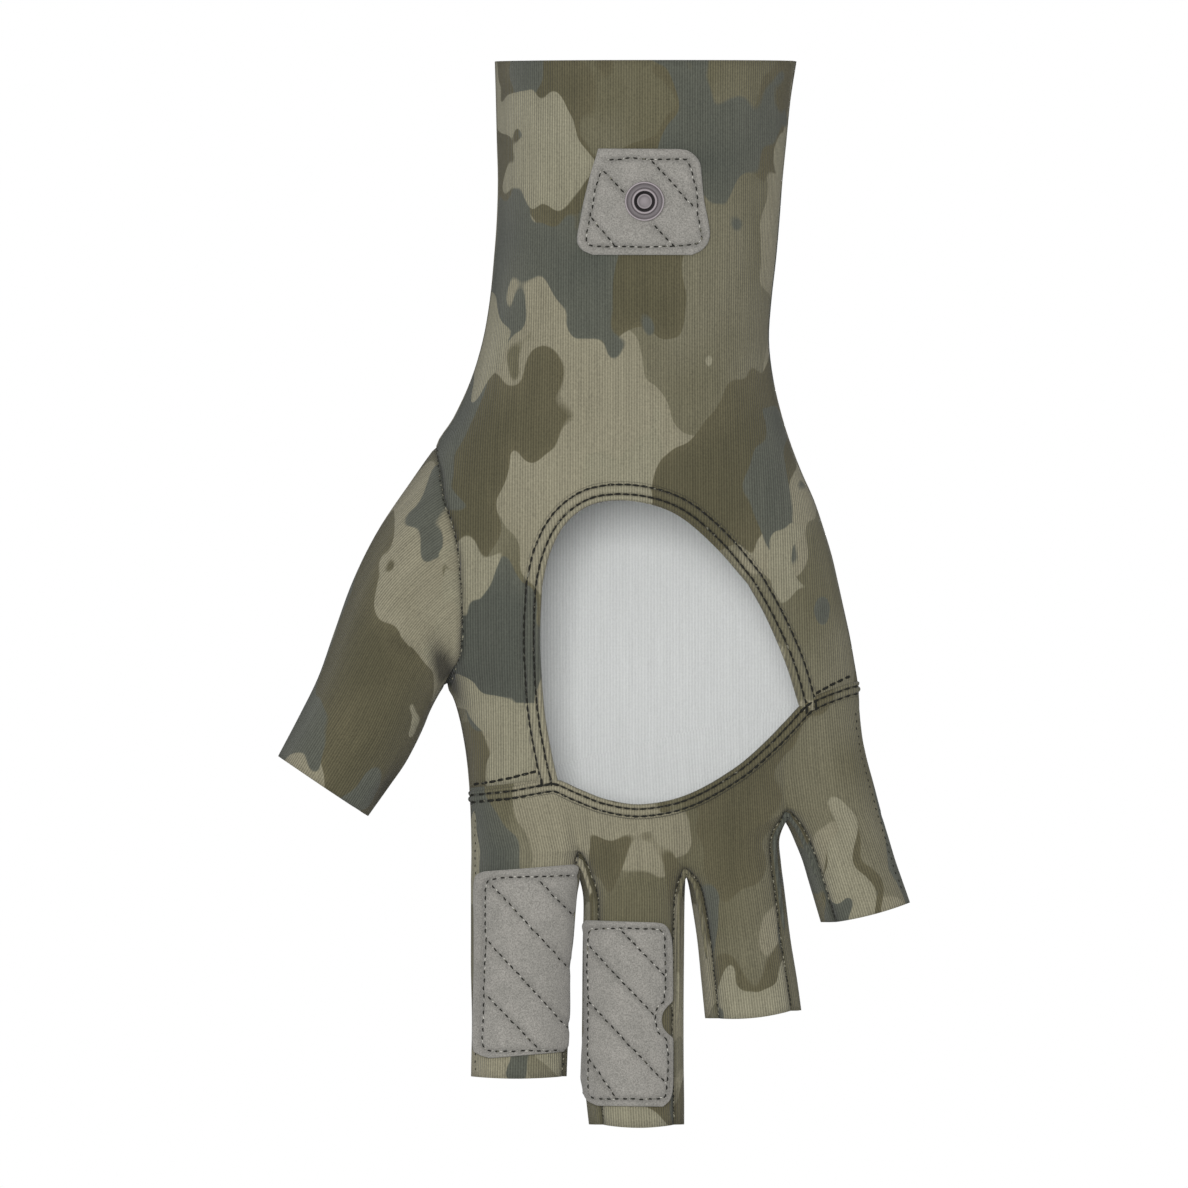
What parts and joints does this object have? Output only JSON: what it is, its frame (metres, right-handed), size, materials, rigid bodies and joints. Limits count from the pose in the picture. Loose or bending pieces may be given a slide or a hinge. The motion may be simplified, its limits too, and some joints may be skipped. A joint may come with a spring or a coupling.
{
  "type": "fishing glove",
  "caption": "Fingerless right-hand sun glove of thin camouflage cloth with an open palm window, suede line guards on two fingers and a wrist snap.",
  "frame": {"origin": "middle of the cuff's open end, where a wrist goes in", "axes": "+Z out of the cuff, away from the fingers, which hang down; the palm faces -Y; the thumb is on the -X side"},
  "size_m": [0.1516, 0.0513, 0.2555],
  "materials": {
    "cloth": null,
    "suede": "matt nap",
    "snap": "satin gunmetal"
  },
  "bodies": {
    "root": {"palm_panel": "cloth", "back_panel": "cloth", "finger_front_panel": "cloth", "fourchette_index_middle": "cloth", "fourchette_middle_ring": "cloth", "fourchette_ring_pinky": "cloth", "thumb_sleeve": "cloth", "wrist_patch": "suede", "index_pad": "suede", "middle_pad": "suede", "snap_ring": "snap", "snap_post": "snap"}
  },
  "joints": []
}
